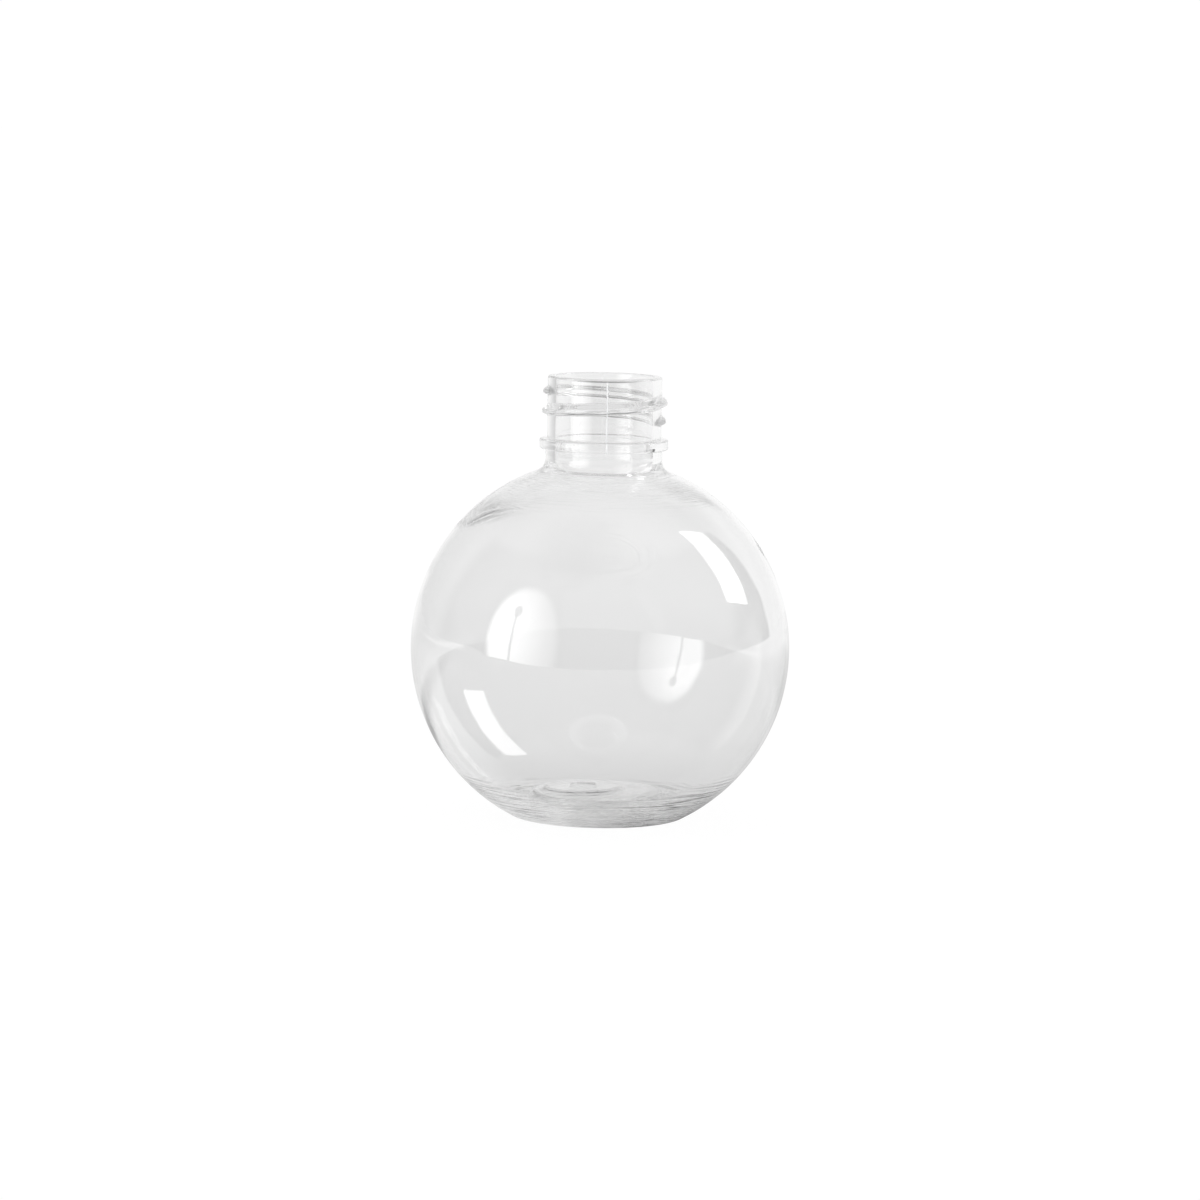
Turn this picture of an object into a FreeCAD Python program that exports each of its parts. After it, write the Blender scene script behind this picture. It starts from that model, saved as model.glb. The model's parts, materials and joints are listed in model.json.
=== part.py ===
import FreeCAD, Part
import math
import os

# A clear ball-shaped PET bottle, stretch-blown in one piece: a thin ball with a small pushed-up base,
# and a stiff injection-moulded neck whose screw thread takes a standard 28-410 cap or pump.
# The frame has +Z up along the neck, and its origin is at the centre of the ring that the bottle stands on.
# All sizes are in millimetres and all angles in degrees.

# Ball
ball_radius = 41.5
ball_wall = 0.8

# Base: the ball is cut off at standing_radius, and stands on the flat ring just inside that
standing_radius = 18.4
standing_ring_width = 3.4
heel_round = 4.0
step_height = 4.2
step_slope = 66.0
step_round = 0.5
push_up_height = 4.6
heel_wall = 1.4
step_wall = 1.4
middle_wall = 1.6
inner_heel_round = 3.0
inner_step_round = 0.8

# Thick disc that stays where the closed end of the blank stretched least, and the marks in its middle
slug_radius = 8.6
slug_thickness = 0.7
slug_edge_slope = 45.0
slug_off_centre = 3.2
rod_mark_radius = 2.75
rod_mark_depth = 0.35
gate_stub_radius = 1.1
gate_stub_length = 0.6

# Neck, with a collar between the bead and the ball
neck_length = 20.22
neck_radius = 12.5
neck_wall = 1.85
rim_chamfer = 0.3
collar_step = 0.3
shoulder_round = 2.6
inner_shoulder_round = 3.2

# Transfer bead, by which a filling line holds the bottle
bead_reach = 1.55
bead_thickness = 2.2
bead_drop = 13.7
bead_chamfer = 0.35

# Screw thread: one start, right-hand, 6 turns to the inch
thread_depth = 1.25
thread_pitch = 25.4 / 6
thread_turns = 1.5
thread_drop = 3.55
thread_fade = 35.0
crest_width = 0.75
upper_flank = 42.0
lower_flank = 25.0
thread_root_sink = 0.35
sections_per_turn = 24

# Places that follow from the sizes above
ball_centre_height = math.sqrt(ball_radius**2 - standing_radius**2)
step_foot_radius = standing_radius - standing_ring_width
cavity_radius = ball_radius - ball_wall
bore_radius = neck_radius - neck_wall
collar_radius = neck_radius + collar_step
thread_radius = neck_radius + thread_depth
bead_radius = neck_radius + bead_reach
total_height = ball_centre_height + math.sqrt(ball_radius**2 - collar_radius**2) + neck_length
bead_top = total_height - bead_drop
bead_bottom = bead_top - bead_thickness
axis_foot = FreeCAD.Vector(0, 0, 0)
up = FreeCAD.Vector(0, 0, 1)


def point(radius, height):
    """A point of the half section, which lies in the XZ plane."""
    return FreeCAD.Vector(radius, 0, height)


def on_circle(circle_radius, radius, side):
    """The point at that radius on a circle round the ball's centre, above (side 1) or below it (side -1)."""
    return point(radius, ball_centre_height + side * math.sqrt(circle_radius**2 - radius**2))


def circle_radius_at(circle_radius, height):
    """How far from the axis a circle round the ball's centre is at a height."""
    return math.sqrt(circle_radius**2 - (height - ball_centre_height) ** 2)


def inner_step(height):
    """The point at a height on the inner step, which runs beside the outer one at the distance step_wall."""
    slope = math.radians(step_slope)
    return point(step_foot_radius + (step_wall - height * math.cos(slope)) / math.sin(slope), height)


def ball_arc(circle_radius, start, end):
    """The arc round the ball's centre from start to end, by way of the ball's widest place."""
    return Part.Arc(start, point(circle_radius, ball_centre_height), end).toShape()


def dome_arc(middle, edge):
    """The shallow arc from the axis to an edge further down, level where it meets the axis."""
    drop = middle.z - edge.z
    radius = (edge.x**2 + drop**2) / (2 * drop)
    half_way = 0.5 * math.asin(edge.x / radius)
    between = point(radius * math.sin(half_way), middle.z - radius * (1 - math.cos(half_way)))
    return Part.Arc(middle, between, edge).toShape()


def rounded(pieces):
    """Joins (edge, radius) pairs end to end in a wire, and rounds the corner after each edge to its radius."""
    plane = Part.Plane(axis_foot, FreeCAD.Vector(0, 1, 0))
    edges = [edge for edge, _ in pieces]
    arcs = []
    for i, (_, radius) in enumerate(pieces):
        if not radius:
            continue
        ends = [(a.Point, a.Point.distanceToPoint(b.Point)) for a in edges[i].Vertexes for b in edges[i + 1].Vertexes]
        corner = min(ends, key=lambda pair: pair[1])[0]
        fillet = Part.ChFi2d.FilletAlgo(edges[i], edges[i + 1], plane)
        fillet.perform(radius)
        arc, edges[i], edges[i + 1] = fillet.result(corner)
        arcs.append(arc)
    return Part.Wire(Part.__sortEdges__(edges + arcs))


def outside():
    """The outer half section from the middle of the base up to the rim, as (edge, rounding) pairs."""
    line = Part.makeLine
    middle = point(0, push_up_height)
    floor_edge = point(standing_radius, 0)
    step_foot = point(step_foot_radius, 0)
    step_run = step_height / math.tan(math.radians(step_slope))
    step_top = point(step_foot.x - step_run, step_height)
    collar_foot = on_circle(ball_radius, collar_radius, 1)
    collar_top = point(collar_radius, bead_bottom)
    bead_low = point(bead_radius - bead_chamfer, bead_bottom)
    bead_low_edge = point(bead_radius, bead_bottom + bead_chamfer)
    bead_high_edge = point(bead_radius, bead_top - bead_chamfer)
    bead_high = point(bead_radius - bead_chamfer, bead_top)
    neck_foot = point(neck_radius, bead_top)
    rim_edge = point(neck_radius, total_height - rim_chamfer)
    rim = point(neck_radius - rim_chamfer, total_height)
    return [
        (dome_arc(middle, step_top), step_round),
        (line(step_top, step_foot), step_round),
        (line(step_foot, floor_edge), heel_round),
        (ball_arc(ball_radius, floor_edge, collar_foot), shoulder_round),
        (line(collar_foot, collar_top), 0),
        (line(collar_top, bead_low), 0),
        (line(bead_low, bead_low_edge), 0),
        (line(bead_low_edge, bead_high_edge), 0),
        (line(bead_high_edge, bead_high), 0),
        (line(bead_high, neck_foot), 0),
        (line(neck_foot, rim_edge), 0),
        (line(rim_edge, rim), 0),
    ]


def inside():
    """The cavity's half section from the rim down to the middle of the base, as (edge, rounding) pairs."""
    line = Part.makeLine
    rim = point(bore_radius + rim_chamfer, total_height)
    rim_edge = point(bore_radius, total_height - rim_chamfer)
    bore_foot = on_circle(cavity_radius, bore_radius, 1)
    heel = point(circle_radius_at(cavity_radius, heel_wall), heel_wall)
    step_low = inner_step(heel_wall)
    step_high = inner_step(step_height + step_wall)
    middle = point(0, push_up_height + middle_wall)
    return [
        (line(rim, rim_edge), 0),
        (line(rim_edge, bore_foot), inner_shoulder_round),
        (ball_arc(cavity_radius, bore_foot, heel), inner_heel_round),
        (line(heel, step_low), inner_step_round),
        (line(step_low, step_high), inner_step_round),
        (dome_arc(middle, step_high), 0),
    ]


def half_section():
    """The bottle's wall as a closed face in the XZ plane, without its thread and its thick disc."""
    outline = outside()
    cavity = inside()
    rim_land = Part.makeLine(point(neck_radius - rim_chamfer, total_height), point(bore_radius + rim_chamfer, total_height))
    on_axis = Part.makeLine(point(0, push_up_height + middle_wall), point(0, push_up_height))
    return Part.Face(rounded(outline + [(rim_land, 0)] + cavity + [(on_axis, 0)]))


def thread_section(angle):
    """Closed section of the thread at an angle round the neck, counted from its lower end.

    Over thread_fade at each end the crest sinks smoothly into the neck, as the mould's cutter ran out.
    """
    length = 360 * thread_turns
    inside_by = min(angle, length - angle) + thread_run_out()
    share = max(0.0, min(1.0, inside_by / thread_fade))
    fade = share * share * (3 - 2 * share)
    hidden = neck_radius - thread_root_sink / 2
    crest = hidden + (thread_radius - hidden) * fade
    root = neck_radius - thread_root_sink
    middle = total_height - thread_drop - thread_pitch * (length - angle) / 360
    high = middle + crest_width / 2
    low = middle - crest_width / 2
    corners = [
        point(root, low - (crest - root) * math.tan(math.radians(lower_flank))),
        point(crest, low),
        point(crest, high),
        point(root, high + (crest - root) * math.tan(math.radians(upper_flank))),
    ]
    wire = Part.makePolygon(corners + corners[:1])
    wire.rotate(axis_foot, up, angle)
    return wire


def thread_run_out():
    """How far the fading thread goes on past each end of its counted turns, in degrees."""
    return 0.6 * thread_fade


def thread():
    """The thread ridge, lofted through sections round the neck from its lower end at +X."""
    first = -thread_run_out()
    last = 360 * thread_turns - first
    count = math.ceil((last - first) / 360 * sections_per_turn)
    sections = [thread_section(first + (last - first) * i / count) for i in range(count + 1)]
    return Part.makeLoft(sections, True, False)


def slug():
    """The thick disc in the base, off the axis where the blank's closed end drifted.

    It has a sloped edge, the round mark of the stretch rod on top and the stub of the moulding gate below.
    """
    floor = push_up_height + middle_wall
    sunk = middle_wall / 2
    edge_run = (slug_thickness + sunk) / math.tan(math.radians(slug_edge_slope))
    disc = Part.makeCone(slug_radius + edge_run, slug_radius, slug_thickness + sunk, point(0, floor - sunk))
    mark = Part.makeCylinder(rod_mark_radius, rod_mark_depth, point(0, floor + slug_thickness - rod_mark_depth))
    stub_foot = point(0, push_up_height - gate_stub_length)
    stub = Part.makeCylinder(gate_stub_radius, gate_stub_length + middle_wall / 2, stub_foot)
    lump = disc.cut(mark).fuse(stub)
    lump.translate(FreeCAD.Vector(-slug_off_centre, 0, 0))
    return lump


def bottle():
    """The whole bottle as one solid."""
    shell = half_section().revolve(axis_foot, up, 360)
    return shell.fuse([thread(), slug()]).removeSplitter()


os.makedirs("parts", exist_ok=True)
made = bottle()
print("solids", len(made.Solids), "valid", made.isValid(), "volume", round(made.Volume, 1))
made.exportStep("parts/bottle.step")
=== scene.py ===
# %% [markdown]
# A clear ball-shaped PET bottle on a white table
#
# The real bottle is one piece of clear plastic. A thick injection-moulded blank is warmed, stretched by a rod and blown
# into a ball, so its neck stays thick and exact while its ball is thin. This lesson makes that one piece as one closed
# surface with numpy, gives it a clear plastic finish, and lights it the way a product studio does.

# %% The frame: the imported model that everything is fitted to
import json
import math

import bpy
import numpy as np
from mathutils import Matrix, Vector


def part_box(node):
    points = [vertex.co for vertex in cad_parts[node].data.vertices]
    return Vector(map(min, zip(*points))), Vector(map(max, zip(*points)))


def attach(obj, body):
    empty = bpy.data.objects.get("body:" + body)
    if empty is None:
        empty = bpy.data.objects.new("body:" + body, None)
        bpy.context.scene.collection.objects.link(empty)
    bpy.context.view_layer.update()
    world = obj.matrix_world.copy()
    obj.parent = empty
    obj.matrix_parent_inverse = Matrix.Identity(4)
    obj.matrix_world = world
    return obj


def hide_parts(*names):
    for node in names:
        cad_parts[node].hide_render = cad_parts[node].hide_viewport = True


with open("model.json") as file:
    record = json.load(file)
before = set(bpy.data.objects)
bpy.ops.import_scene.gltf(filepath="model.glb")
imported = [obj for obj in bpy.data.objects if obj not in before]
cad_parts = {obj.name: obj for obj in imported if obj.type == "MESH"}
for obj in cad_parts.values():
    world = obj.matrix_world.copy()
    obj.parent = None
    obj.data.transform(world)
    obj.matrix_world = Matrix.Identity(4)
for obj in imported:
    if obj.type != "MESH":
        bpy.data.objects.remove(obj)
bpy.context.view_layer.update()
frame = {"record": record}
mm = 0.001
low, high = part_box("bottle")
mounts = {mount["name"]: mount for mount in frame["record"]["mounts"]}
print("the bottle is", [round(v / mm, 1) for v in high - low], "mm")

# %% [markdown]
# Sizes
#
# The overall sizes come from the frame. The rest repeats the part's own small sizes: the wall, the bead, the thread and
# the base. Everything below is worked out from these few values, so one change moves all that belongs together.

# %% Sizes in metres
ball_radius = min(high.x, high.y, -low.x, -low.y)
total_height = high.z
bead_radius = mounts["bead_rim"]["dims"]["r_mm"] * mm
bore_radius = mounts["mouth_bore"]["dims"]["r_mm"] * mm
ball_wall = 0.8 * mm
standing_radius = 18.4 * mm
standing_ring_width = 3.4 * mm
heel_round = 4.0 * mm
step_height = 4.2 * mm
step_slope = math.radians(66)
step_round = 0.5 * mm
push_up_height = 4.6 * mm
heel_wall = 1.4 * mm
step_wall = 1.4 * mm
middle_wall = 1.6 * mm
inner_heel_round = 3.0 * mm
inner_step_round = 0.8 * mm
neck_radius = 12.5 * mm
collar_radius = neck_radius + 0.3 * mm
shoulder_round = 2.6 * mm
inner_shoulder_round = 3.2 * mm
rim_round = 0.3 * mm
rim_outer_round = 1.6 * rim_round
bead_thickness = 2.2 * mm
bead_drop = 13.7 * mm
bead_round = 0.35 * mm
bead_foot_round = 0.2 * mm
cavity_radius = ball_radius - ball_wall
ball_centre = math.sqrt(ball_radius**2 - standing_radius**2)
bead_top = total_height - bead_drop
bead_bottom = bead_top - bead_thickness
print("ball centre at", round(ball_centre / mm, 2), "mm, rim at", round(total_height / mm, 2), "mm")

# %% [markdown]
# The half section
#
# A revolved shape is a profile carried round an axis. The profile here is a chain of straight runs and arcs in the
# plane of radius and height. Where a line meets the ball, a circle is rolled along both until it touches each, which is
# how a fillet is built on paper. Points sit close together where the surface bends fast, and further apart on the ball.


# %% Helpers for the profile
def arc(centre, radius, start, end, count):
    """Points on a circle: the centre plus radius times (cosine, sine) of angles spaced evenly from start to end."""
    turn = np.linspace(start, end, count)
    return np.column_stack([centre[0] + radius * np.cos(turn), centre[1] + radius * np.sin(turn)])


def run(start, end, count):
    """Points on a straight line: the share of the way from start to end goes evenly from 0 to 1."""
    share = np.linspace(0, 1, count)[:, None]
    return (1 - share) * np.array(start) + share * np.array(end)


def rounded_corner(before, corner, after, radius, count):
    """An arc in the corner of two straight runs.

    Its centre lies on the corner's bisector, at the radius divided by the sine of half the corner's angle. It touches
    each run at the radius divided by the tangent of that half angle.
    """
    corner = np.array(corner)
    one = np.array(before) - corner
    two = np.array(after) - corner
    one = one / np.linalg.norm(one)
    two = two / np.linalg.norm(two)
    half = 0.5 * math.acos(one @ two)
    middle = (one + two) / np.linalg.norm(one + two)
    centre = corner + middle * radius / math.sin(half)
    first = corner + one * radius / math.tan(half) - centre
    last = corner + two * radius / math.tan(half) - centre
    start = math.atan2(first[1], first[0])
    sweep = (math.atan2(last[1], last[0]) - start + math.pi) % (2 * math.pi) - math.pi
    return arc(centre, radius, start, start + sweep, count)


def shoulder_circle(ball, wall, radius):
    """Centre of the circle that rolls on the outside of a ball and against an upright wall.

    It is the wall's radius plus its own from the axis, and the ball's radius plus its own from the ball's centre. The
    angle says in which direction the ball's centre sees it.
    """
    r = wall + radius
    z = ball_centre + math.sqrt((ball + radius) ** 2 - r**2)
    return (r, z), math.atan2(z - ball_centre, r)


def heel_circle(ball, floor, radius):
    """Centre of the circle that rolls on a level floor and inside a ball.

    It is its own radius above the floor, and the ball's radius less its own from the ball's centre.
    """
    z = floor + radius
    r = math.sqrt((ball - radius) ** 2 - (ball_centre - z) ** 2)
    return (r, z), math.atan2(z - ball_centre, r)


def dome(top, edge, radius, count):
    """Points on a shallow arc that is level on the axis at height top, from there out to the radius edge."""
    r = np.linspace(0, edge, count)
    return np.column_stack([r, top - radius + np.sqrt(radius**2 - r**2)])


def dome_radius(top, edge, edge_height):
    """Radius of the arc from height top on the axis to the edge: edge squared plus drop squared over twice the drop."""
    drop = top - edge_height
    return (edge**2 + drop**2) / (2 * drop)


# %% The outside, from the middle of the base up to the rim
step_foot = standing_radius - standing_ring_width
step_top = step_foot - step_height / math.tan(step_slope)
base_dome_radius = dome_radius(push_up_height, step_top, step_height)
base_slope = np.array([-1, step_top / base_dome_radius]) * mm
underside = dome(push_up_height, step_top - 0.4 * mm, base_dome_radius, 42)
step_corner = rounded_corner(
    np.array([step_top, step_height]) + base_slope, (step_top, step_height), (step_foot, 0), step_round, 7
)
foot_corner = rounded_corner((step_top, step_height), (step_foot, 0), (standing_radius, 0), step_round, 7)
heel, heel_turn = heel_circle(ball_radius, 0, heel_round)
heel_arc = arc(heel, heel_round, -math.pi / 2, heel_turn, 12)
outer_shoulder, shoulder_turn = shoulder_circle(ball_radius, collar_radius, shoulder_round)
ball_arc = arc((0, ball_centre), ball_radius, heel_turn, shoulder_turn, 60)
shoulder_arc = arc(outer_shoulder, shoulder_round, shoulder_turn + math.pi, math.pi, 14)
bead_low = rounded_corner(
    (collar_radius, bead_bottom), (bead_radius, bead_bottom), (bead_radius, bead_top), bead_round, 6
)
bead_high = rounded_corner(
    (bead_radius, bead_bottom), (bead_radius, bead_top), (neck_radius, bead_top), bead_round, 6
)
bead_inner_low = rounded_corner(
    (collar_radius, bead_bottom - mm), (collar_radius, bead_bottom), (bead_radius, bead_bottom), bead_foot_round, 4
)
bead_inner_high = rounded_corner(
    (bead_radius, bead_top), (neck_radius, bead_top), (neck_radius, total_height), bead_foot_round, 4
)
thread_low = bead_top + 2.6 * mm
thread_high = total_height - 1.5 * mm
neck_rows = np.concatenate(
    [
        np.linspace(bead_top + 0.3 * mm, thread_low, 5)[:-1],
        np.linspace(thread_low, thread_high, 82),
        np.linspace(thread_high, total_height - rim_outer_round - 0.1 * mm, 4)[1:],
    ]
)
neck_wall = np.column_stack([np.full(len(neck_rows), neck_radius), neck_rows])
rim_outer = rounded_corner(
    (neck_radius, bead_top), (neck_radius, total_height), (bore_radius, total_height), rim_outer_round, 8
)

# %% The inside, from the rim down to the middle of the base
rim_inner = rounded_corner((neck_radius, total_height), (bore_radius, total_height), (bore_radius, 0), rim_round, 6)
inner_shoulder, inner_turn = shoulder_circle(cavity_radius, bore_radius, inner_shoulder_round)
bore = run((bore_radius, total_height - rim_round - 0.2 * mm), (bore_radius, inner_shoulder[1] + 0.2 * mm), 12)
inner_shoulder_arc = arc(inner_shoulder, inner_shoulder_round, math.pi, inner_turn + math.pi, 14)
inner_heel, inner_heel_turn = heel_circle(cavity_radius, heel_wall, inner_heel_round)
cavity_arc = arc((0, ball_centre), cavity_radius, inner_turn, inner_heel_turn, 60)
inner_heel_arc = arc(inner_heel, inner_heel_round, inner_heel_turn, -math.pi / 2, 10)
floor_top = push_up_height + middle_wall
edge_height = step_height + step_wall
low_foot = step_foot + (step_wall - heel_wall * math.cos(step_slope)) / math.sin(step_slope)
floor_edge = step_foot + (step_wall - edge_height * math.cos(step_slope)) / math.sin(step_slope)
floor_dome_radius = dome_radius(floor_top, floor_edge, edge_height)
floor_slope = np.array([-1, floor_edge / floor_dome_radius]) * mm
inner_foot_corner = rounded_corner(
    inner_heel_arc[-1], (low_foot, heel_wall), (floor_edge, edge_height), inner_step_round, 7
)
further_in = np.array([floor_edge, edge_height]) + floor_slope
inner_step_corner = rounded_corner(
    (low_foot, heel_wall), (floor_edge, edge_height), further_in, inner_step_round, 7
)
floor = dome(floor_top, inner_step_corner[-1][0] - 0.1 * mm, floor_dome_radius, 44)[::-1]

# %% Join the pieces into one chain
pieces = {
    "underside": underside,
    "step": np.vstack([step_corner, foot_corner]),
    "heel": heel_arc,
    "ball": ball_arc[1:],
    "shoulder": shoulder_arc[1:],
    "collar": bead_inner_low,
    "bead": np.vstack([bead_low, bead_high]),
    "above bead": bead_inner_high,
    "neck": neck_wall,
    "rim": np.vstack([rim_outer, rim_inner]),
    "bore": bore,
    "inner shoulder": inner_shoulder_arc,
    "cavity": cavity_arc[1:],
    "inner heel": inner_heel_arc[1:],
    "inner step": np.vstack([inner_foot_corner, inner_step_corner]),
    "floor": floor,
}
profile = np.vstack(list(pieces.values()))
ends = np.cumsum([len(piece) for piece in pieces.values()])
rows = {name: slice(end - len(piece), end) for (name, piece), end in zip(pieces.items(), ends)}
print(len(profile), "rows of points on the half section")

# %% [markdown]
# The columns
#
# The blank's mould leaves a fine upright line down the neck, front and back. It is a tenth of a millimetre wide, so the
# columns of points crowd together there: a density that rises at both lines is added up round the circle, and the
# columns are read off at even steps of that sum.


# %% Angles of the columns
def bell(value, middle, reach):
    """A bell along a line: e to the minus squared distance."""
    return np.exp(-(((value - middle) / reach) ** 2))


column_count = 238
line_turn = math.radians(2.7)
lines_at = np.array([-math.pi / 2, math.pi / 2]) + line_turn
fine = np.linspace(-math.pi, math.pi, 20001)
distance = np.abs((fine[:, None] - lines_at[None, :] + math.pi) % (2 * math.pi) - math.pi).min(1)
density = 1 + 7 * bell(distance, 0, math.radians(1.3))
total = np.concatenate([[0], np.cumsum(0.5 * (density[1:] + density[:-1]))])
columns = np.interp(np.arange(column_count) / column_count * total[-1], total, fine)
print(column_count, "columns, the closest", round(math.degrees(np.diff(columns).min()), 2), "degrees apart")

# %% [markdown]
# The screw thread
#
# A cap's thread is one ridge that winds up round the neck, six turns to the inch and right-handed. Its upper flank is
# sloped and its lower flank is steep, because the cap pulls up against the lower one. A helix is a height that grows
# with the angle, so for each point of the neck the ridge's middle is known on every turn, and the ridge's height there
# is the crest less what the flank has fallen. A smooth maximum joins it to the wall with a small fillet.

# %% Thread as a radial height over the neck
thread_depth = 1.25 * mm
thread_pitch = 25.4 * mm / 6
thread_turns = 1.5
thread_drop = 3.55 * mm
thread_fade = math.radians(35)
crest_width = 0.75 * mm
upper_flank = math.tan(math.radians(42))
lower_flank = math.tan(math.radians(25))
crest_round, root_round = 0.18 * mm, 0.16 * mm


def smooth_max(a, b, width):
    """The larger of a and b, with the corner between them rounded: half their sum plus half a softened gap."""
    return 0.5 * (a + b + np.sqrt((a - b) ** 2 + width**2))


def smooth_step(x):
    """A value that rises smoothly from 0 to 1 while x goes from 0 to 1: three x squared less two x cubed."""
    x = np.clip(x, 0, 1)
    return x * x * (3 - 2 * x)


def thread_height(turn, height):
    """How far the thread stands out at an angle and a height.

    On each turn the ridge's middle rises by the pitch times the angle's share of a full turn. Beyond half the crest's
    width the ridge falls by the distance divided by the flank's tangent. Near both ends the crest fades out.
    """
    length = thread_turns * 2 * math.pi
    result = np.zeros(np.broadcast(turn, height).shape)
    for lap in range(-1, 3):
        along = (turn % (2 * math.pi)) + lap * 2 * math.pi
        inside = np.minimum(along, length - along) + 0.6 * thread_fade
        crest = thread_depth * smooth_step(inside / thread_fade)
        middle = total_height - thread_drop - thread_pitch * (length - along) / (2 * math.pi)
        above = height - middle
        fall = np.where(above > 0, (above - crest_width / 2) / upper_flank, (-above - crest_width / 2) / lower_flank)
        ridge = -smooth_max(-crest, fall - crest, crest_round) + crest_round / 3
        ridge = np.where(inside > 0, smooth_max(ridge, 0, root_round) - root_round / 2, 0)
        result = np.maximum(result, ridge)
    return result


# %% [markdown]
# The base
#
# In the middle of the base the plastic was hardly stretched. A thick disc is left there, a little off the axis, with
# the round mark of the stretch rod on top and the stub of the moulding gate below. The disc and the mark are heights
# over the inner floor, and the stub is one below the underside.

# %% Heights over the base
slug_radius = 8.6 * mm
slug_thickness = 0.7 * mm
slug_off_centre = 3.2 * mm
rod_mark_radius = 2.75 * mm
rod_mark_depth = 0.35 * mm
gate_stub_radius = 1.1 * mm
gate_stub_length = 0.6 * mm


def plateau(distance, radius, edge):
    """1 inside a circle and 0 outside it, changing smoothly over the width of its edge."""
    return smooth_step((radius + edge / 2 - distance) / edge)


def floor_height(x, y):
    """How much the inner floor is raised: the disc's plateau less the rod mark's plateau."""
    away = np.hypot(x + slug_off_centre, y)
    disc = slug_thickness * plateau(away, slug_radius, 1.4 * mm)
    return disc - rod_mark_depth * plateau(away, rod_mark_radius, 0.7 * mm)


def stub_height(x, y):
    """How far the gate's stub hangs down: a small plateau at the same place."""
    return gate_stub_length * plateau(np.hypot(x + slug_off_centre, y), gate_stub_radius, 0.8 * mm)


# %% The surface: profile by column, then the heights that aren't round
seam_height, seam_half_width = 0.09 * mm, 0.14 * mm
radius = np.repeat(profile[:, :1], column_count, 1)
height = np.repeat(profile[:, 1:], column_count, 1)
turn = np.repeat(columns[None, :], len(profile), 0)
seam_away = np.abs((turn - lines_at[0] + math.pi / 2) % math.pi - math.pi / 2)
neck = rows["neck"]
radius[neck] += thread_height(turn[neck], height[neck])
seam_rows = slice(rows["collar"].start, rows["neck"].stop)
seam = seam_height * bell(seam_away * neck_radius, 0, seam_half_width)
radius[seam_rows] += seam[seam_rows]
x = radius * np.cos(turn)
y = radius * np.sin(turn)
height[rows["floor"]] += floor_height(x, y)[rows["floor"]]
height[rows["underside"]] -= stub_height(x, y)[rows["underside"]]
print("thread reaches", round(radius[neck].max() / mm, 2), "mm")


# %% Make the mesh: a pole at each end, and a grid of four-sided faces between
def add_mesh(name, points, faces):
    """An object in the scene, with a mesh of those points and faces."""
    mesh = bpy.data.meshes.new(name)
    mesh.from_pydata(points, [], faces)
    mesh.validate()
    mesh.update()
    made = bpy.data.objects.new(name, mesh)
    bpy.context.scene.collection.objects.link(made)
    return made


def closed_revolve(name, x, y, z):
    """A closed mesh from a grid of points whose first and last rows each lie at one place on the axis.

    Row by row, each face joins a point, the next one round, and the two above them, which turns it outwards.
    """
    last, count = len(x) - 1, x.shape[1]
    ring = np.stack([x[1:last], y[1:last], z[1:last]], -1).reshape(-1, 3)
    points = np.vstack([[[0, 0, z[0].mean()]], ring, [[0, 0, z[last].mean()]]])
    index = 1 + np.arange((last - 1) * count).reshape(last - 1, count)
    beside = np.roll(index, -1, 1)
    quads = np.stack([index[:-1], beside[:-1], beside[1:], index[1:]], -1).reshape(-1, 4)
    first_fan = np.stack([np.zeros(count, int), beside[0], index[0]], -1)
    last_fan = np.stack([np.full(count, len(points) - 1), index[-1], beside[-1]], -1)
    made = add_mesh(name, points.tolist(), first_fan.tolist() + quads.tolist() + last_fan.tolist())
    made.data.polygons.foreach_set("use_smooth", np.ones(len(made.data.polygons), bool))
    return made


bottle = closed_revolve("clear_bottle", x, y, height)


# %% [markdown]
# Flow marks
#
# Where the plastic was stretched least, its flow shows as fine ripples: rings round the heel and the shoulder, and a
# patch of streaks on each side of the shoulder. The heel's mould also leaves them outside. How strong they are is a
# number on each point of the mesh, and the material turns it into bump and painted shade, which costs no faces.

# %% How strong the flow marks are at each point
def around_at(angle, middle, reach):
    """A bell round the axis: e to the minus squared distance, in which an angle's distance is the shorter way."""
    away = (angle - middle + math.pi) % (2 * math.pi) - math.pi
    return bell(away, 0, reach)


inner = np.zeros(len(profile), bool)
inner[rows["inner shoulder"].start : rows["floor"].stop] = True
inner = inner[:, None]
front = smooth_step(0.5 - 0.8 * np.sin(turn))
rings_end = (5 + 3 * front + 5 * np.cos(turn) ** 2 * (0.3 + 0.7 * front)) * mm
rings = smooth_step((rings_end - height) / (5 * mm)) * smooth_step((radius - 10.5 * mm) / (3 * mm))
rings *= 0.78 + 0.05 * np.cos(turn) + 0.8 * around_at(turn, math.radians(-58), math.radians(18))
rings += inner * 0.14 * smooth_step((height - 66 * mm) / (8 * mm)) * smooth_step((78 * mm - height) / (3 * mm))
rings *= ~np.isin(np.arange(len(profile)), np.arange(rows["bead"].start, rows["bore"].stop))[:, None]
left, right, streak_tilt = math.radians(167), math.radians(26), 0.235
on_left = 2.4 * around_at(turn, left, math.radians(22)) * smooth_step((height - 62.8 * mm) / (1.2 * mm))
on_right = 1.4 * around_at(turn, right, math.radians(24))
streaks = on_left * bell(height, 65.2 * mm, 3.2 * mm)
streaks += on_right * bell(height - streak_tilt * radius * np.sin(turn), 68.4 * mm, 2.2 * mm)
climb = height - 65 * mm + 0.29 * mm * (np.degrees(turn) - 137)
streaks += 0.35 * around_at(turn, math.radians(126), math.radians(10)) * bell(climb, 0, 1.3 * mm)
streaks = inner * np.clip(streaks, 0, 1)
lines = np.zeros_like(radius)
lines[seam_rows] = bell(seam_away[seam_rows] * neck_radius, 0, 0.16 * mm)
flank = np.zeros_like(radius)
slope = np.gradient(radius[neck], axis=0) / np.gradient(height[neck], axis=0)
flank[neck] = np.clip(slope / 2, 0, 1)
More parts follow.
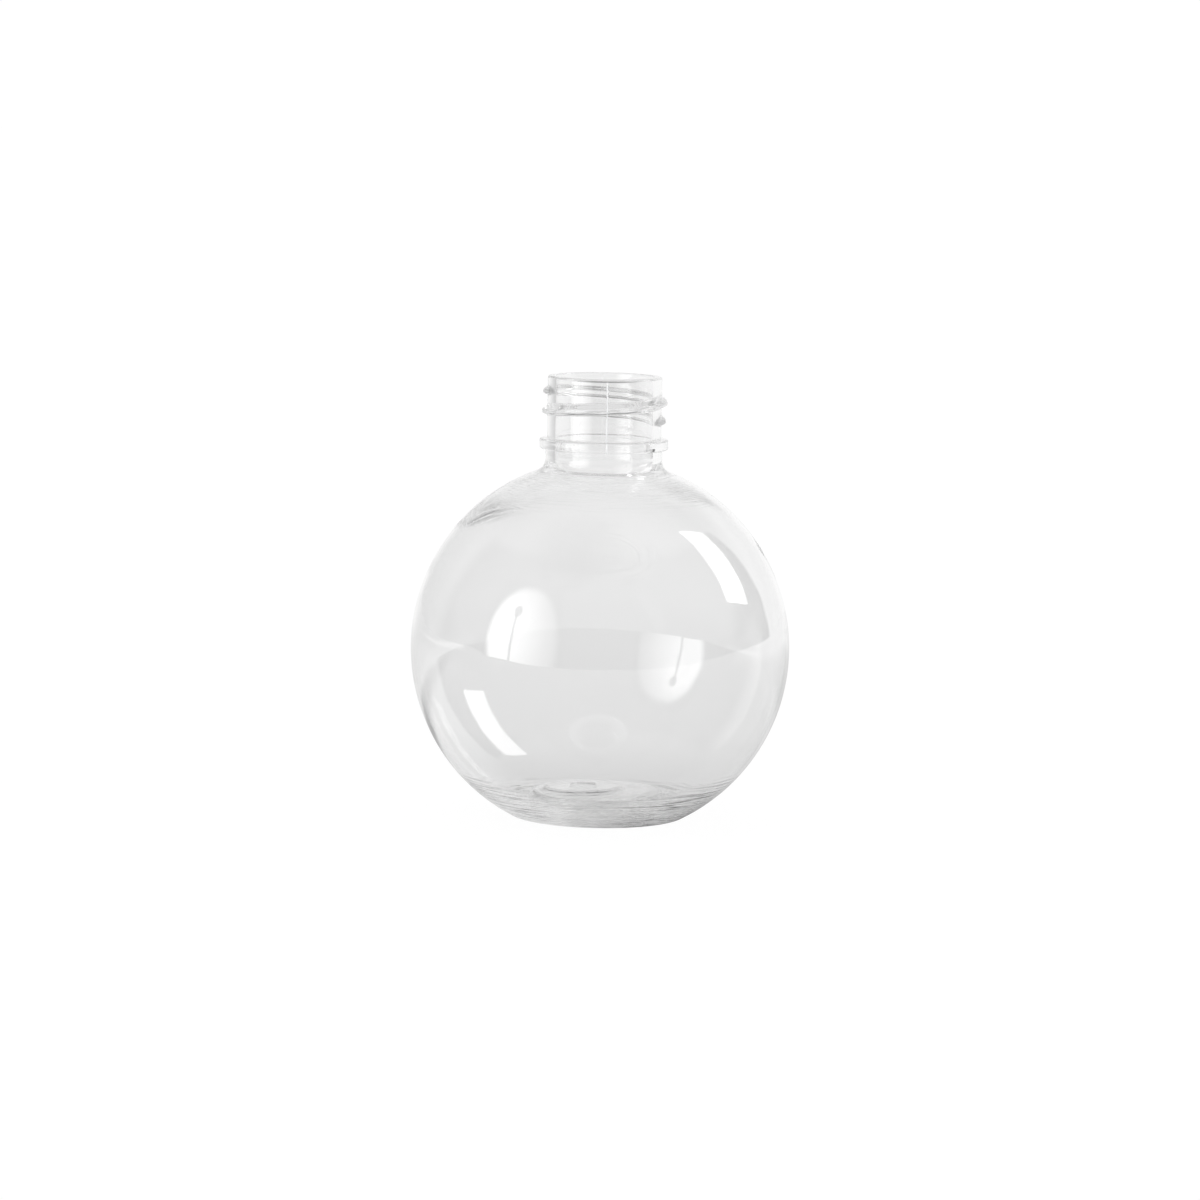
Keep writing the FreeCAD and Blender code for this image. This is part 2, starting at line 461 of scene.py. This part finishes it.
# The rings and streaks numbers set both the bump and the painted shade of the flow marks in the material.
for name, values in (("rings", rings), ("streaks", streaks), ("mould_line", lines), ("lower_flank", flank)):
    values = np.concatenate([[values[0].mean()], values[1:-1].ravel(), [values[-1].mean()]])
    bottle.data.attributes.new(name, "FLOAT", "POINT").data.foreach_set("value", values.astype(np.float32))
    print(name, "on", int((values > 0.05).sum()), "points")

# %% Give it to the frame
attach(bottle, "root")
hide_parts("bottle")
triangles = sum(len(face.vertices) - 2 for face in bottle.data.polygons)
print("the bottle has", triangles, "triangles")

# %% [markdown]
# The mould line
#
# The two halves of the blank's mould meet in a fine upright line. In front its crest catches the light and reads as a
# white thread, which clear plastic can't show at this size, so it is a piece of its own: a small diamond carried along
# the neck's outside, half sunk in the crest, whose white is a painted highlight.

# %% Carry a diamond along the neck's outline
line_half_width, line_half_height = 0.10 * mm, 0.04 * mm


def mould_line(name, column, first, last):
    """A diamond section at each point of the outline, turned with the outline's slope and closed at both ends."""
    path = np.stack([radius[first:last, column], height[first:last, column]], 1)
    path = path[np.concatenate([[True], np.linalg.norm(np.diff(path, axis=0), axis=1) > 0.01 * mm])]
    ahead = np.gradient(path, axis=0)
    ahead /= np.linalg.norm(ahead, axis=1)[:, None]
    normal = np.stack([ahead[:, 1], -ahead[:, 0]], 1)
    angle = columns[column]
    out = np.array([math.cos(angle), math.sin(angle), 0])
    side = np.array([-math.sin(angle), math.cos(angle), 0])
    up = np.array([0, 0, 1])
    centre = path[:, :1] * out + path[:, 1:] * up
    raised = normal[:, :1] * out + normal[:, 1:] * up
    corners = ((-1, 0), (0, 1), (1, 0), (0, -1))
    rings = [centre + a * line_half_width * side + b * line_half_height * raised for a, b in corners]
    points = np.stack(rings, 1).reshape(-1, 3)
    index = np.arange(len(points)).reshape(-1, 4)
    beside = np.roll(index, -1, 1)
    quads = np.stack([index[:-1], index[1:], beside[1:], beside[:-1]], -1).reshape(-1, 4)
    made = add_mesh(name, points.tolist(), quads.tolist() + [index[0].tolist(), index[-1][::-1].tolist()])
    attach(made, "root")
    return made


front_column = int(np.argmin(np.abs(columns - lines_at[0])))
crest_line = mould_line("mould_line", front_column, rows["collar"].start, rows["neck"].stop)

# %% [markdown]
# The clear plastic
#
# PET bends light more than glass does: its index is 1.575. The Principled shader with Transmission Weight 1 gives both
# the reflection at each face and the bending. A pale grey Base Color stands for the little light that each wall keeps;
# further down, painted shade darkens it at the flow marks, the base and the neck.
# Shadow rays can't be bent, so a Light Path switch lets them straight through, or the bottle would have a black shadow.


# %% Node helpers
def node(tree, kind, at, **settings):
    """Adds a node of that kind at a place in the editor, and sets its options and its sockets by name."""
    made = tree.nodes.new(kind)
    made.location = at
    for key, value in settings.items():
        if hasattr(made, key):
            setattr(made, key, value)
        else:
            made.inputs[key.replace("_", " ")].default_value = value
    return made


def formula(tree, operation, first, second=None, third=None, at=(0, 0)):
    """Adds a Math node: each input is a number or another node's output."""
    made = tree.nodes.new("ShaderNodeMath")
    made.operation = operation
    made.location = at
    for socket, value in zip(made.inputs, (first, second, third)):
        if isinstance(value, (int, float)):
            socket.default_value = value
        elif value is not None:
            tree.links.new(value, socket)
    return made.outputs[0]


# %% Helper: a value that goes smoothly from one level to another
def ramp(tree, value, start, stop, low, high, at=(0, 0), smooth=True):
    """low up to start, high from stop on, and a smooth step between, as a socket."""
    made = node(tree, "ShaderNodeMapRange", at, interpolation_type="SMOOTHSTEP" if smooth else "LINEAR")
    made.inputs["From Min"].default_value = start
    made.inputs["From Max"].default_value = stop
    made.inputs["To Min"].default_value = low
    made.inputs["To Max"].default_value = high
    tree.links.new(value, made.inputs["Value"])
    return made.outputs["Result"]


def choose_value(tree, factor, off, on, at=(0, 0)):
    """The first value where factor is 0, and the second where it is 1. Each is a socket or a number."""
    made = node(tree, "ShaderNodeMix", at, data_type="FLOAT")
    tree.links.new(factor, made.inputs["Factor"])
    for value, name in ((off, "A"), (on, "B")):
        if hasattr(value, "node"):
            tree.links.new(value, made.inputs[name])
        else:
            made.inputs[name].default_value = value
    return made.outputs["Result"]


# %% Helpers: the numbers of a place, a distance, and how often a ray was reflected or bent
def axes(tree, place, at):
    """The three numbers of a place, as sockets."""
    made = node(tree, "ShaderNodeSeparateXYZ", at)
    tree.links.new(place, made.inputs[0])
    return made.outputs


def distance_to(tree, place, centre, at):
    """How far a place is from a centre, as a socket."""
    made = node(tree, "ShaderNodeVectorMath", at, operation="DISTANCE")
    tree.links.new(place, made.inputs[0])
    made.inputs[1].default_value = centre
    return made.outputs["Value"]


def ray_was(tree, kind, times, at):
    """1 for rays that were reflected (kind Glossy) or bent (kind Transmission) at least so many times, 0 for others."""
    depth = node(tree, "ShaderNodeLightPath", at).outputs[kind + " Depth"]
    return formula(tree, "GREATER_THAN", depth, times - 0.5, at=(at[0] + 200, at[1]))


# %% PET material
clear = 0.985
pet = bpy.data.materials.new("clear PET")
pet.use_nodes = True
tree = pet.node_tree
tree.nodes.clear()
output = node(tree, "ShaderNodeOutputMaterial", (900, 0))
plastic = node(tree, "ShaderNodeBsdfPrincipled", (300, 0), Metallic=0.0, Roughness=0.0, IOR=1.575)
plastic.inputs["Transmission Weight"].default_value = 1.0
plastic.inputs["Base Color"].default_value = (clear, clear, clear, 1)
light_path = node(tree, "ShaderNodeLightPath", (300, 400))
see_through = node(tree, "ShaderNodeBsdfTransparent", (300, -500), Color=(0.93, 0.93, 0.93, 1))
shadow_switch = node(tree, "ShaderNodeMixShader", (650, 0))
tree.links.new(light_path.outputs["Is Shadow Ray"], shadow_switch.inputs[0])
tree.links.new(plastic.outputs[0], shadow_switch.inputs[1])
tree.links.new(see_through.outputs[0], shadow_switch.inputs[2])
tree.links.new(shadow_switch.outputs[0], output.inputs["Surface"])
bottle.data.materials.append(pet)


# %% Flow marks as bump: each height is a noise, stretched along the mark
def stretched_noise(tree, place, scale, detail, at, roughness=0.5):
    """Noise whose place is multiplied by a scale for each axis, between -0.5 and 0.5."""
    sized = node(tree, "ShaderNodeVectorMath", at, operation="MULTIPLY")
    tree.links.new(place, sized.inputs[0])
    sized.inputs[1].default_value = scale
    made = node(tree, "ShaderNodeTexNoise", (at[0] + 200, at[1]), Scale=1.0, Detail=detail, Roughness=roughness)
    tree.links.new(sized.outputs["Vector"], made.inputs["Vector"])
    return formula(tree, "SUBTRACT", made.outputs["Fac"], 0.5, at=(at[0] + 400, at[1]))


def strength_of(tree, name, at):
    """The number that the mesh keeps on each point under that name."""
    made = node(tree, "ShaderNodeAttribute", at, attribute_type="GEOMETRY")
    made.attribute_name = name
    return made.outputs["Fac"]


def lifted(tree, place, lift, at):
    """The place with a number added to its Z, so that the marks run along lines where their sum is the same."""
    lift_vector = node(tree, "ShaderNodeCombineXYZ", at)
    tree.links.new(lift, lift_vector.inputs["Z"])
    made = node(tree, "ShaderNodeVectorMath", (at[0] + 200, at[1]), operation="ADD")
    tree.links.new(place, made.inputs[0])
    tree.links.new(lift_vector.outputs[0], made.inputs[1])
    return made.outputs["Vector"]


ring_height, streak_height, wave_height, ridge_height = 0.38 * mm, 0.22 * mm, 0.07 * mm, 0.17 * mm
place = node(tree, "ShaderNodeTexCoord", (-2400, -200)).outputs["Object"]
x, y, z = axes(tree, place, (-2200, -900))
flat = node(tree, "ShaderNodeVectorMath", (-2200, -500), operation="MULTIPLY")
tree.links.new(place, flat.inputs[0])
flat.inputs[1].default_value = (1, 1, 0)
flat = flat.outputs["Vector"]
from_axis = distance_to(tree, flat, (0, 0, 0), (-2000, -500))
outwards = formula(tree, "MULTIPLY", from_axis, ramp(tree, z, 30 * mm, 50 * mm, 1, -1), at=(-1800, -400))
tilt = formula(tree, "MULTIPLY", y, -streak_tilt, at=(-1800, -700))
ring_noise = stretched_noise(tree, lifted(tree, place, outwards, (-1600, -400)), (80, 80, 1100), 3.0, (-1000, 0), 0.6)
streak_noise = stretched_noise(tree, lifted(tree, place, tilt, (-1600, -700)), (45, 45, 1000), 3.0, (-1000, -300))
wave_noise = stretched_noise(tree, place, (70, 70, 110), 1.0, (-1000, -600))
height_sum = formula(tree, "MULTIPLY", wave_noise, wave_height, at=(-300, -600))
for noise, name, size, at in (
    (ring_noise, "rings", ring_height, (-600, 0)),
    (streak_noise, "streaks", streak_height, (-600, -300)),
):
    amount = formula(tree, "MULTIPLY", strength_of(tree, name, at), size, at=(at[0] + 200, at[1]))
    height_sum = formula(tree, "MULTIPLY_ADD", noise, amount, height_sum, at=(at[0] + 400, at[1]))
tint_and_painted_shade = clear
# Painted shade: where a mark's noise is high, the wall's colour is darkened. This stands for the shade that real
# ripples show by bending and reflecting the room.
for noise, name, starts, darkest, at in (
    (ring_noise, "rings", 0.05, 0.75, (-600, 1000)),
    (streak_noise, "streaks", -0.09, 0.95, (-600, 1200)),
):
    dark = ramp(tree, noise, starts, starts + 0.1, 0, darkest, at=at)
    dark = formula(tree, "MULTIPLY", dark, strength_of(tree, name, at), at=(at[0] + 200, at[1]))
    tint_and_painted_shade = formula(tree, "SUBTRACT", tint_and_painted_shade, dark, at=(at[0] + 400, at[1]))

# %% Fine ridges round the disc, the rod mark and the floor's edge: a peak where the distance is the circle's radius, with painted shade on the ridges and the base's middle
on_floor = ramp(tree, z, 7.2 * mm, 7.6 * mm, 1, 0, at=(-1400, -900))
patchy = ramp(tree, ring_noise, -0.10, 0.10, 0.3, 1.3, at=(-600, -900))
patchy = formula(tree, "MULTIPLY", patchy, on_floor, at=(-400, -900))
# Painted shade: the middle of the base, within 12 to 14 mm of the axis, gets a darker colour.
painted_base_shade = ramp(tree, from_axis, 12 * mm, 14 * mm, 0.16, 0, at=(-600, -1000))
painted_base_shade = formula(tree, "MULTIPLY", on_floor, painted_base_shade, at=(-400, -1000))
tint_and_painted_shade = formula(tree, "SUBTRACT", tint_and_painted_shade, painted_base_shade, at=(-200, -1000))
raised = formula(tree, "MULTIPLY", patchy, ridge_height, at=(-200, -900))
# Painted shade: the ridges get thin dark outlines, strongest towards the left and the front.
lower_left = ramp(tree, formula(tree, "ADD", x, y, at=(-600, -800)), -12 * mm, 4 * mm, 0.70, 0.15, at=(-400, -800))
painted_ridge_shade = formula(tree, "MULTIPLY", patchy, lower_left, at=(-200, -800))
for middle, circle, width, at in (
    ((-slug_off_centre, 0, 0), slug_radius, 0.32 * mm, (-1400, -1100)),
    ((-slug_off_centre, 0, 0), rod_mark_radius, 0.26 * mm, (-1400, -1300)),
    ((0, 0, 0), floor_edge, 0.32 * mm, (-1400, -1500)),
):
    away = distance_to(tree, flat, middle, at)
    off = formula(tree, "ABSOLUTE", formula(tree, "SUBTRACT", away, circle, at=(at[0] + 200, at[1])))
    peak = ramp(tree, off, 0, width, 1, 0, at=(at[0] + 400, at[1]))
    height_sum = formula(tree, "MULTIPLY_ADD", peak, raised, height_sum, at=(at[0] + 600, at[1]))
    line = formula(tree, "MULTIPLY", ramp(tree, off, 0, 0.8 * width, 1, 0, at=(at[0] + 400, at[1] - 50)), painted_ridge_shade)
    tint_and_painted_shade = formula(tree, "SUBTRACT", tint_and_painted_shade, line, at=(at[0] + 800, at[1]))

# %% Painted shade: a dark line under the rim's outer edge and on the thread's lower flank, strongest in front
under_rim = formula(tree, "SUBTRACT", z, total_height - 0.55 * mm, at=(-600, 1400))
under_rim = formula(tree, "ABSOLUTE", under_rim, at=(-400, 1400))
under_rim = ramp(tree, under_rim, 0.05 * mm, 0.25 * mm, 0.8, 0, at=(-200, 1400))
in_front = ramp(tree, y, -12 * mm, -9.5 * mm, 1, 0, at=(-600, 1800))
outside = ramp(tree, from_axis, 12.0 * mm, 12.2 * mm, 0, 1, at=(-600, 2000))
in_front = formula(tree, "MULTIPLY", in_front, outside, at=(-400, 1800))
dashes = ramp(tree, ring_noise, -0.06, 0.08, 0.1, 0.9, at=(-600, 1700))
dashes = formula(tree, "MULTIPLY", strength_of(tree, "lower_flank", (-600, 1600)), dashes, at=(-400, 1600))
painted_rim_and_flank_shade = formula(tree, "MULTIPLY", formula(tree, "MAXIMUM", under_rim, dashes), in_front, at=(0, 1400))
tint_and_painted_shade = formula(tree, "SUBTRACT", tint_and_painted_shade, painted_rim_and_flank_shade, at=(100, 1200))
tint_and_painted_shade = formula(tree, "MAXIMUM", tint_and_painted_shade, 0.02, at=(200, 1200))
# Base Color: the wall's pale grey, less all the painted shade above.
tree.links.new(tint_and_painted_shade, plastic.inputs["Base Color"])
bump = node(tree, "ShaderNodeBump", (50, -300), Strength=1.0, Distance=1.0)
tree.links.new(height_sum, bump.inputs["Height"])
tree.links.new(bump.outputs["Normal"], plastic.inputs["Normal"])

# %% A little roughness on the mould line and in small scuffs
scuff_noise = stretched_noise(tree, place, (900, 900, 900), 2.0, (-1000, 400))
scuff_place = stretched_noise(tree, place, (60, 60, 60), 1.0, (-1000, 650))
scuff_place = ramp(tree, scuff_place, 0.08, 0.2, 0, 0.2, at=(-400, 650))
scuffs = formula(tree, "MULTIPLY", ramp(tree, scuff_noise, 0.20, 0.26, 0, 1), scuff_place, at=(-200, 650))
line_roughness = formula(tree, "MULTIPLY", strength_of(tree, "mould_line", (-400, 500)), 0.3, at=(-200, 500))
worn = ramp(tree, ring_noise, -0.20, -0.12, 0.5, 0, at=(-400, 800))
worn = formula(tree, "MULTIPLY", worn, strength_of(tree, "rings", (-400, 900)), at=(-200, 800))
rough = formula(tree, "MAXIMUM", scuffs, line_roughness, at=(0, 400))
tree.links.new(formula(tree, "MAXIMUM", rough, worn, at=(100, 400)), plastic.inputs["Roughness"])

# %% Painted highlight: a white material for the mould line, standing for the light that its crest catches
crest_highlight_paint = bpy.data.materials.new("painted crest highlight")
crest_highlight_paint.use_nodes = True
tree = crest_highlight_paint.node_tree
crest = tree.nodes["Principled BSDF"]
crest.inputs["Base Color"].default_value = (0.96, 0.97, 0.98, 1)
crest.inputs["Roughness"].default_value = 0.5
grain = node(tree, "ShaderNodeTexNoise", (-600, -200), Scale=9000.0, Detail=2.0)
place = node(tree, "ShaderNodeTexCoord", (-800, -200)).outputs["Object"]
tree.links.new(place, grain.inputs["Vector"])
grain_bump = node(tree, "ShaderNodeBump", (-300, -200), Strength=0.3, Distance=0.02 * mm)
tree.links.new(grain.outputs["Fac"], grain_bump.inputs["Height"])
tree.links.new(grain_bump.outputs["Normal"], crest.inputs["Normal"])
crest_line.data.materials.append(crest_highlight_paint)

# %% [markdown]
# The studio
#
# Clear things show only what is around them. A white table and a white backdrop behind make the bottle read as clear.
# What it reflects makes its form: a dark room in front and above, a backdrop that is brighter on the right, the front
# edge of the table below, an umbrella light on the left and a strip light on the right. A ray that has been reflected
# at least once, which Light Path's Glossy Depth counts, sees that room. All other rays see plain white.

# %% World: white, with a dark room in front for reflections
world = bpy.data.worlds.new("studio")
bpy.context.scene.world = world
world.use_nodes = True
tree = world.node_tree
tree.nodes.clear()
room_light = 0.10
seen_straight = 1.01
backdrop_left, backdrop_right, overhead = 0.57, 0.99, 0.45
seen_through = 0.965
deep_light, ceiling = 0.55, 0.85
backdrop_turn, backdrop_reach = math.radians(6), math.radians(59)
x, y, z = axes(tree, node(tree, "ShaderNodeTexCoord", (-1800, 0)).outputs["Generated"], (-1600, 0))
across = formula(tree, "MULTIPLY", x, -math.sin(backdrop_turn), at=(-1400, 100))
facing = formula(tree, "MULTIPLY_ADD", y, math.cos(backdrop_turn), across, at=(-1200, 100))
flat = formula(tree, "MULTIPLY_ADD", y, y, formula(tree, "MULTIPLY", x, x, at=(-1400, -100)), at=(-1200, -100))
facing = formula(tree, "DIVIDE", facing, formula(tree, "SQRT", flat, at=(-1000, -100)), at=(-900, 0))
lift = ramp(tree, z, 0.62, 1.0, 0, 1, at=(-1000, -400))
edge = formula(tree, "MULTIPLY_ADD", lift, -1.6, math.cos(backdrop_reach), at=(-800, -300))
softness = formula(tree, "MULTIPLY_ADD", lift, 0.60, ramp(tree, x, -0.5, 0.3, 0.12, 0.02), at=(-800, -500))
past_edge = formula(tree, "SUBTRACT", facing, edge, at=(-600, -200))
past_edge = formula(tree, "DIVIDE", past_edge, softness, at=(-500, -300))
inside = ramp(tree, past_edge, -1, 1, 0, 1, at=(-400, -200))
left_to_right = ramp(tree, x, -0.95, 0.10, backdrop_left, backdrop_right, at=(-700, 250))
height_fade = ramp(tree, z, 0.45, 0.80, 0, 1, at=(-700, 450))
backdrop = choose_value(tree, height_fade, left_to_right, overhead, at=(-400, 200))
around = choose_value(tree, inside, room_light, backdrop, at=(-200, 0))
behind = ramp(tree, y, 0.45, 0.62, 0, 1, at=(-400, -800))
behind_and_up = formula(tree, "MULTIPLY", ramp(tree, z, 0.60, 0.74, 0, 1, at=(-400, -600)), behind, at=(-200, -600))
around = choose_value(tree, behind_and_up, around, ceiling, at=(-100, 0))
deep = formula(tree, "MULTIPLY", ray_was(tree, "Glossy", 2, (-800, 300)), deep_light, at=(-400, 300))
around = formula(tree, "MAXIMUM", around, deep, at=(-200, 200))
reflected = ray_was(tree, "Glossy", 1, (-800, 500))
bent = ray_was(tree, "Transmission", 1, (-800, 700))
straight = choose_value(tree, bent, seen_straight, seen_through, at=(-300, 500))
background = node(tree, "ShaderNodeBackground", (100, 0), Color=(1, 1, 1, 1))
tree.links.new(choose_value(tree, reflected, straight, around, at=(-100, 200)), background.inputs["Strength"])
world_output = node(tree, "ShaderNodeOutputWorld", (300, 0))
tree.links.new(background.outputs[0], world_output.inputs[0])

# %% Table: white, ending a little in front of the bottle, with painted light and shadow in its glow
table_front = ball_centre / math.tan(math.radians(5.5))
side, back, top = 6.0, 8.0, -0.3 * mm
table_corners = [(-side, -table_front, top), (side, -table_front, top), (side, back, top), (-side, back, top)]
table = add_mesh("table", table_corners, [(0, 1, 2, 3)])
white = bpy.data.materials.new("white table")
white.use_nodes = True
tree = white.node_tree
tree.nodes.clear()
shadow_share = 0.04
place = node(tree, "ShaderNodeTexCoord", (-1400, -100)).outputs["Object"]
x, y, z = axes(tree, place, (-1200, -100))
distance = distance_to(tree, place, (0, 0, 0), (-1200, -300))
# Painted light and shade: for reflected rays, the table's glow changes from front to back and from side to side,
# standing for how the studio lights it. It is darkest in front.
far = ramp(tree, distance, 0.15, 0.60, 0, 1, at=(-1000, 100))
near_level = ramp(tree, x, -0.06, 0.06, 0.80, 0.68, at=(-1300, 0))
strip = ramp(tree, y, 0.03, 0.06, 0, 1, at=(-1700, 200))
strip = formula(tree, "MULTIPLY", strip, ramp(tree, y, 0.07, 0.11, 1, 0, at=(-1700, 0)), at=(-1500, 100))
by_side = ramp(tree, x, -0.06, 0.06, -0.35, 0.08, at=(-1500, 0))
near_level = formula(tree, "MULTIPLY_ADD", strip, by_side, near_level, at=(-1100, 0))
sideways = formula(tree, "DIVIDE", x, distance, at=(-1500, 300))
far_level = ramp(tree, sideways, -0.95, -0.20, backdrop_left, backdrop_right, at=(-1300, 200))
beside = ramp(tree, distance, 0.7, 1.0, 0, 1, at=(-1500, 500))
beside = formula(tree, "MULTIPLY", beside, ramp(tree, y, 0.5, 0.8, 1, 0, at=(-1500, 700)), at=(-1300, 500))
far_level = choose_value(tree, beside, far_level, 0.92, at=(-1100, 200))
left_to_right = choose_value(tree, far, near_level, far_level, at=(-900, 0))
by_depth = choose_value(tree, ramp(tree, y, -0.08, 0.03, 0, 1, at=(-900, -250)), 0.60, left_to_right, at=(-700, 0))
# Painted shadow: within a few centimetres of the bottle, the table glows darker on the right and lighter on the left.
near_shade = ramp(tree, x, -0.012, 0.012, 1.25, 0.20, at=(-1100, -500))
away = ramp(tree, distance, 0.012, 0.038, 0, 1, at=(-1100, -600))
painted_contact_shadow = choose_value(tree, away, near_shade, 1.0, at=(-900, -500))
around = formula(tree, "MULTIPLY", by_depth, painted_contact_shadow, at=(-500, 0))
# Painted shadow: seen through the bottle, the table glows darker close behind it.
painted_shadow_behind = ramp(tree, distance, 0.02, 0.12, 0.70, 0.865, at=(-900, -750), smooth=False)
behind = formula(tree, "ADD", painted_shadow_behind, ramp(tree, distance, 0.12, 0.45, 0, 0.08, at=(-900, -900), smooth=False))
bent = ray_was(tree, "Transmission", 1, (-800, 600))
straight = choose_value(tree, bent, seen_straight, behind, at=(-400, 400))
strength = choose_value(tree, ray_was(tree, "Glossy", 1, (-800, 400)), straight, around, at=(-200, 200))
glow = node(tree, "ShaderNodeEmission", (0, 200))
tree.links.new(formula(tree, "SUBTRACT", strength, shadow_share, at=(-100, 200)), glow.inputs["Strength"])
matt = node(tree, "ShaderNodeBsdfDiffuse", (0, 0), Color=(shadow_share, shadow_share, shadow_share, 1))
both = node(tree, "ShaderNodeAddShader", (200, 100))
tree.links.new(glow.outputs[0], both.inputs[0])
tree.links.new(matt.outputs[0], both.inputs[1])
output = node(tree, "ShaderNodeOutputMaterial", (400, 100))
tree.links.new(both.outputs[0], output.inputs["Surface"])
table.data.materials.append(white)

# %% Helper: a glowing panel
def light_panel(name, corners, brightness, edge, power, spot=None, dim=1.0, pole=None, distance=0.9, count=17):
    """A panel that only reflections show, between four directions from the ball: bottom left, then anticlockwise.

    A direction is (azimuth, elevation) in degrees, with azimuth from the camera's side towards the right. A point is
    the corners blended by (1-u)(1-v), u(1-v), uv and (1-u)v. The light ends where |2u-1|^power + |2v-1|^power is 1,
    over a soft edge. With a spot (u, v), it fades from brightness there to dim times that. A pole (u low, u high, v high)
    is a thin dark line in front of the light, from its lower edge up to a small knob at v high.
    """
    azimuth, elevation = np.radians(np.array(corners, float)).T
    out = np.stack([np.sin(azimuth) * np.cos(elevation), -np.cos(azimuth) * np.cos(elevation), np.sin(elevation)], 1)
    u, v = (grid.ravel()[:, None] for grid in np.meshgrid(np.linspace(0, 1, count), np.linspace(0, 1, count)))
    blend = np.hstack([(1 - u) * (1 - v), u * (1 - v), u * v, (1 - u) * v])
    points = blend @ out * distance + (0, 0, ball_centre)
    start = (np.arange(count - 1)[:, None] * count + np.arange(count - 1)).ravel()
    faces = np.stack([start, start + 1, start + count + 1, start + count], 1)
    made = add_mesh(name, points.tolist(), faces.tolist())
    loops = np.empty(len(made.data.loops), np.int32)
    made.data.loops.foreach_get("vertex_index", loops)
    made.data.uv_layers.new(name="panel").data.foreach_set("uv", np.hstack([u, v])[loops].ravel())
    glow = bpy.data.materials.new(name)
    glow.use_nodes = True
    tree = glow.node_tree
    tree.nodes.clear()
    place = node(tree, "ShaderNodeUVMap", (-1600, 0), uv_map="panel").outputs[0]
    across, up, _ = axes(tree, place, (-1400, 0))
    parts = []
    for share in (across, up):
        away = formula(tree, "ABSOLUTE", formula(tree, "MULTIPLY_ADD", share, 2.0, -1.0))
        parts.append(formula(tree, "POWER", away, power))
    rim = formula(tree, "ADD", *parts, at=(-900, 0))
    level = ramp(tree, rim, 1.0, 1.0 - edge, 0.0, brightness, at=(-700, 0))
    if spot:
        from_spot = distance_to(tree, place, (*spot, 0), (-1200, -300))
        fall = ramp(tree, from_spot, 0.12, 0.75, 1.0, dim, at=(-900, -300))
        level = formula(tree, "MULTIPLY", level, fall, at=(-500, 0))
    if pole:
        low_u, high_u, high_v = pole
        line = formula(tree, "MULTIPLY_ADD", up, (high_u - low_u) / high_v, low_u, at=(-1200, -600))
        off = formula(tree, "SUBTRACT", across, line, at=(-1000, -600))
        off = ramp(tree, formula(tree, "ABSOLUTE", off, at=(-800, -600)), 0.008, 0.020, 0.15, 1, at=(-600, -600))
        above = ramp(tree, up, high_v, high_v + 0.02, 0, 1, at=(-800, -800))
        lit = formula(tree, "MAXIMUM", off, above, at=(-400, -600))
        knob = distance_to(tree, place, (high_u, high_v, 0), (-1200, -900))
        knob = ramp(tree, knob, 0.045, 0.062, 0.2, 1, at=(-900, -900))
        lit = formula(tree, "MULTIPLY", lit, knob, at=(-400, -800))
        level = formula(tree, "MULTIPLY", level, lit, at=(-300, -100))
    unseen = node(tree, "ShaderNodeBsdfTransparent", (0, 100))
    shine = node(tree, "ShaderNodeEmission", (0, -100))
    tree.links.new(level, shine.inputs["Strength"])
    choose = node(tree, "ShaderNodeMixShader", (200, 0))
    tree.links.new(ray_was(tree, "Glossy", 1, (-400, 300)), choose.inputs[0])
    tree.links.new(unseen.outputs[0], choose.inputs[1])
    tree.links.new(shine.outputs[0], choose.inputs[2])
    out_node = node(tree, "ShaderNodeOutputMaterial", (400, 0))
    tree.links.new(choose.outputs[0], out_node.inputs["Surface"])
    made.data.materials.append(glow)


# %% Lights: an umbrella light on the left and a strip light on the right
light_panel(
    "umbrella_light", [(-76, -18), (-21, -16), (-26, 38), (-71, 36)], 3.0, 0.45, 2.2,
    spot=(0.25, 0.50), dim=0.22, pole=(0.37, 0.40, 0.70),
)
light_panel("strip_light", [(90.5, 21.2), (108.2, 14.5), (119.5, 43.8), (104.3, 56.2)], 3.2, 0.10, 24.0)

# %% [markdown]
# The camera
#
# The photograph looks slightly down at the bottle from about a metre, with a long lens. The neck leans a little to the
# right, which a small roll gives.

# %% Camera
camera = bpy.data.objects.new("camera", bpy.data.cameras.new("camera"))
bpy.context.scene.collection.objects.link(camera)
bpy.context.scene.camera = camera
camera.data.lens = 143.6
camera.data.sensor_width = 36
camera.data.clip_start = 0.01
camera.location = (-0.0002, -1.042, 0.167)
aim = Vector((-0.0002, 0, 0.0477))
roll = math.radians(1.1)
look = (aim - camera.location).to_track_quat("-Z", "Y").to_matrix().to_4x4()
camera.matrix_world = Matrix.Translation(camera.location) @ look @ Matrix.Rotation(roll, 4, "Z")
bpy.context.scene.view_settings.view_transform = "Standard"

# %% Let light pass many walls and edges before it is given up
bpy.context.scene.cycles.max_bounces = 128
bpy.context.scene.cycles.glossy_bounces = 128
bpy.context.scene.cycles.transmission_bounces = 128
